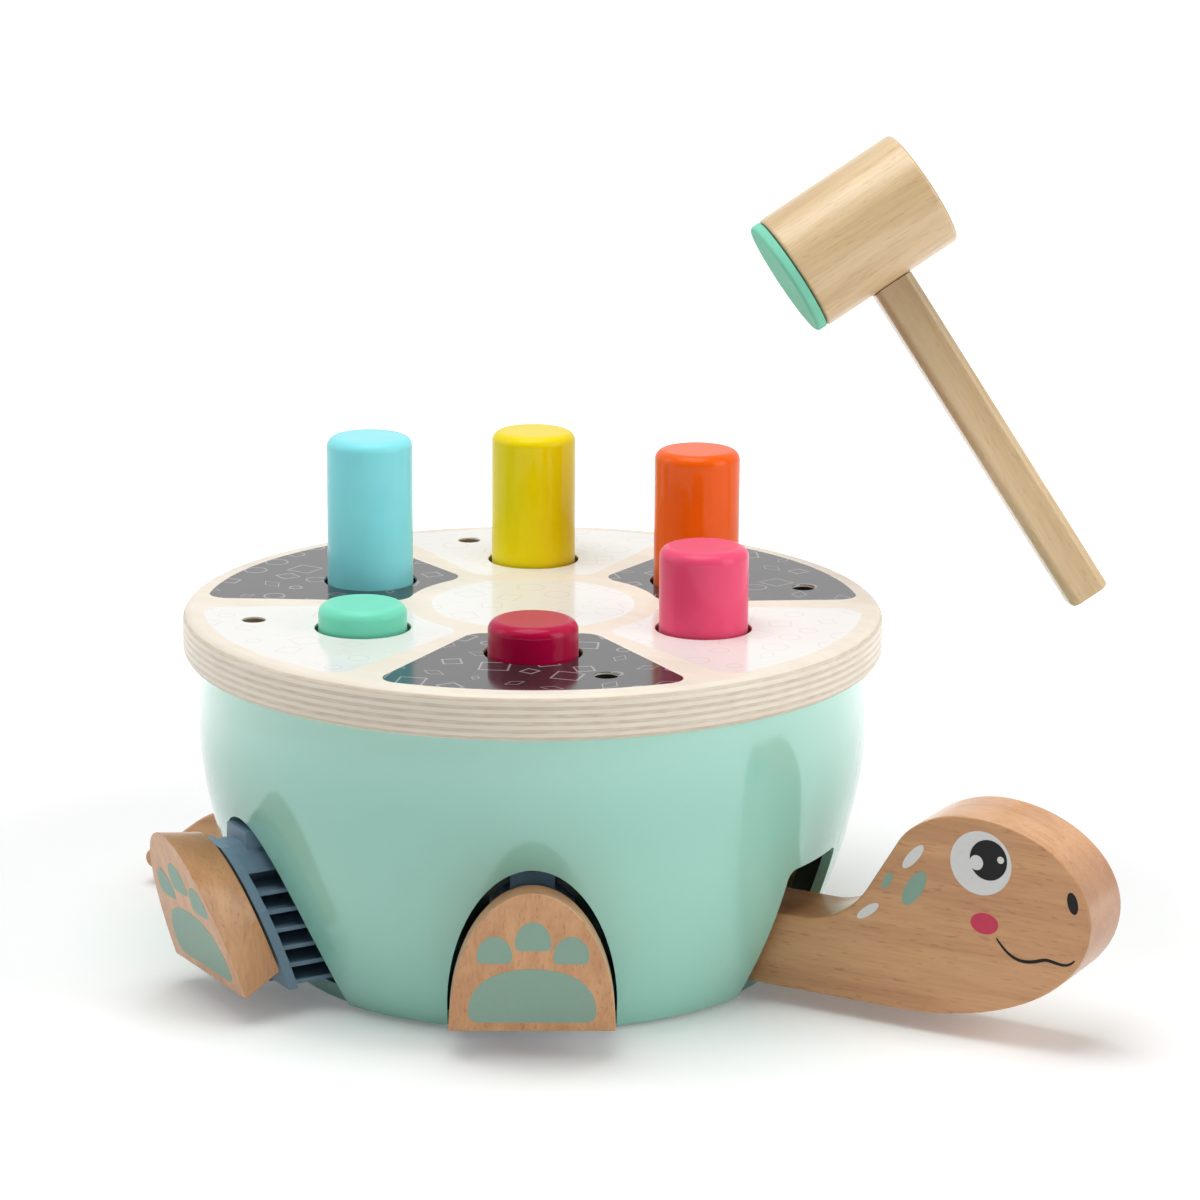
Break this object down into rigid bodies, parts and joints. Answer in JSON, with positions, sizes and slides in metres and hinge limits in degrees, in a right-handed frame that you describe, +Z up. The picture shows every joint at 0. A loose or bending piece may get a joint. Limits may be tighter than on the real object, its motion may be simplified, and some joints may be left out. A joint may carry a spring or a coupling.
{
  "type": "pounding toy",
  "caption": "Turtle pounding toy with a mallet: hitting a peg in the round top pushes a wooden limb out of the drum, and pushing the limb in lifts the peg again.",
  "frame": {"origin": "middle of the base plate's underside, on the floor", "axes": "+Z up, +X the way the turtle looks, +Y to the turtle's left"},
  "size_m": [0.3078, 0.2191, 0.2328],
  "materials": {
    "plywood": "birch plywood with printed panels under clear lacquer",
    "pink_paint": "pink gloss paint on turned wood",
    "orange_paint": "orange gloss paint on turned wood",
    "yellow_paint": "yellow gloss paint on turned wood",
    "light_blue_paint": "light blue gloss paint on turned wood",
    "mint_paint": "mint gloss paint on turned wood",
    "crimson_paint": "crimson gloss paint on turned wood",
    "mint_plastic": "glossy moulded plastic",
    "blue_grey_plastic": "satin moulded plastic",
    "beech": "sanded beech, clear finish, printed face and paws",
    "mallet_beech": "pale beech, clear finish",
    "mallet_rubber": "soft mint rubber",
    "steel": "plain steel screws and pins"
  },
  "bodies": {
    "drum": {"top_plate": "plywood", "guide_frame": "blue_grey_plastic", "shell": "mint_plastic", "base_plate": "mint_plastic", "plate_screw_1": "steel", "plate_screw_2": "steel", "plate_screw_3": "steel", "plate_screw_4": "steel", "base_screw_1": "steel", "base_screw_2": "steel", "base_screw_3": "steel", "base_screw_4": "steel", "base_screw_5": "steel", "base_screw_6": "steel"},
    "head_peg_body": {"head_peg": "pink_paint", "head_stem": "blue_grey_plastic", "head_pin": "steel", "head_stem_screw": "steel"},
    "head_limb_body": {"head_carrier": "blue_grey_plastic", "turtle_head": "beech"},
    "left_front_foot_peg_body": {"left_front_foot_peg": "orange_paint", "left_front_foot_stem": "blue_grey_plastic", "left_front_foot_pin": "steel", "left_front_foot_stem_screw": "steel"},
    "left_front_foot_limb_body": {"left_front_foot_carrier": "blue_grey_plastic", "left_front_foot": "beech"},
    "left_rear_foot_peg_body": {"left_rear_foot_peg": "yellow_paint", "left_rear_foot_stem": "blue_grey_plastic", "left_rear_foot_pin": "steel", "left_rear_foot_stem_screw": "steel"},
    "left_rear_foot_limb_body": {"left_rear_foot_carrier": "blue_grey_plastic", "left_rear_foot": "beech"},
    "tail_peg_body": {"tail_peg": "light_blue_paint", "tail_stem": "blue_grey_plastic", "tail_pin": "steel", "tail_stem_screw": "steel"},
    "tail_limb_body": {"tail_carrier": "blue_grey_plastic", "turtle_tail": "beech"},
    "right_rear_foot_peg_body": {"right_rear_foot_peg": "mint_paint", "right_rear_foot_stem": "blue_grey_plastic", "right_rear_foot_pin": "steel", "right_rear_foot_stem_screw": "steel"},
    "right_rear_foot_limb_body": {"right_rear_foot_carrier": "blue_grey_plastic", "right_rear_foot": "beech"},
    "right_front_foot_peg_body": {"right_front_foot_peg": "crimson_paint", "right_front_foot_stem": "blue_grey_plastic", "right_front_foot_pin": "steel", "right_front_foot_stem_screw": "steel"},
    "right_front_foot_limb_body": {"right_front_foot_carrier": "blue_grey_plastic", "right_front_foot": "beech"},
    "mallet": {"mallet_head": "mallet_beech", "mallet_pad": "mallet_rubber", "mallet_handle": "mallet_beech"}
  },
  "joints": [
    {"name": "head_peg_slide", "type": "slide", "parent": "drum", "child": "head_peg_body", "axis": [0, 0, 1], "range_m": [-0.01656, 0.01944]},
    {"name": "head_limb_slide", "type": "slide", "parent": "drum", "child": "head_limb_body", "axis": [1, 0, 0], "range_m": [-0.01405, 0.01197]},
    {"name": "left_front_foot_peg_slide", "type": "slide", "parent": "drum", "child": "left_front_foot_peg_body", "axis": [0, 0, 1], "range_m": [-0.0324, 0.0036]},
    {"name": "left_front_foot_limb_slide", "type": "slide", "parent": "drum", "child": "left_front_foot_limb_body", "axis": [0.5, 0.866, 0], "range_m": [-0.00201, 0.01801]},
    {"name": "left_rear_foot_peg_slide", "type": "slide", "parent": "drum", "child": "left_rear_foot_peg_body", "axis": [0, 0, 1], "range_m": [-0.03204, 0.00396]},
    {"name": "left_rear_foot_limb_slide", "type": "slide", "parent": "drum", "child": "left_rear_foot_limb_body", "axis": [-0.5, 0.866, 0], "range_m": [-0.00287, 0.02315]},
    {"name": "tail_peg_slide", "type": "slide", "parent": "drum", "child": "tail_peg_body", "axis": [0, 0, 1], "range_m": [-0.036, 0]},
    {"name": "tail_limb_slide", "type": "slide", "parent": "drum", "child": "tail_limb_body", "axis": [-1, 0, 0], "range_m": [-0.00001, 0.02601]},
    {"name": "right_rear_foot_peg_slide", "type": "slide", "parent": "drum", "child": "right_rear_foot_peg_body", "axis": [0, 0, 1], "range_m": [0, 0.036]},
    {"name": "right_rear_foot_limb_slide", "type": "slide", "parent": "drum", "child": "right_rear_foot_limb_body", "axis": [-0.5, -0.866, 0], "range_m": [-0.02601, 0.00001]},
    {"name": "right_front_foot_peg_slide", "type": "slide", "parent": "drum", "child": "right_front_foot_peg_body", "axis": [0, 0, 1], "range_m": [-0.00252, 0.03348]},
    {"name": "right_front_foot_limb_slide", "type": "slide", "parent": "drum", "child": "right_front_foot_limb_body", "axis": [0.5, -0.866, 0], "range_m": [-0.01861, 0.00141]},
    {"name": "mallet_swing", "type": "hinge", "parent": "drum", "child": "mallet", "pos_m": [0.12713, 0.10518, 0.0988], "axis": [0.5962, -0.7992, 0.0758], "range_deg": [-25, 19]}
  ],
  "couplings": [
    {"joint": "head_limb_slide", "follows": "head_peg_slide", "ratio": -0.72222},
    {"joint": "left_front_foot_limb_slide", "follows": "left_front_foot_peg_slide", "ratio": -0.55556},
    {"joint": "left_rear_foot_limb_slide", "follows": "left_rear_foot_peg_slide", "ratio": -0.72222},
    {"joint": "tail_limb_slide", "follows": "tail_peg_slide", "ratio": -0.72222},
    {"joint": "right_rear_foot_limb_slide", "follows": "right_rear_foot_peg_slide", "ratio": -0.72222},
    {"joint": "right_front_foot_limb_slide", "follows": "right_front_foot_peg_slide", "ratio": -0.55556}
  ]
}
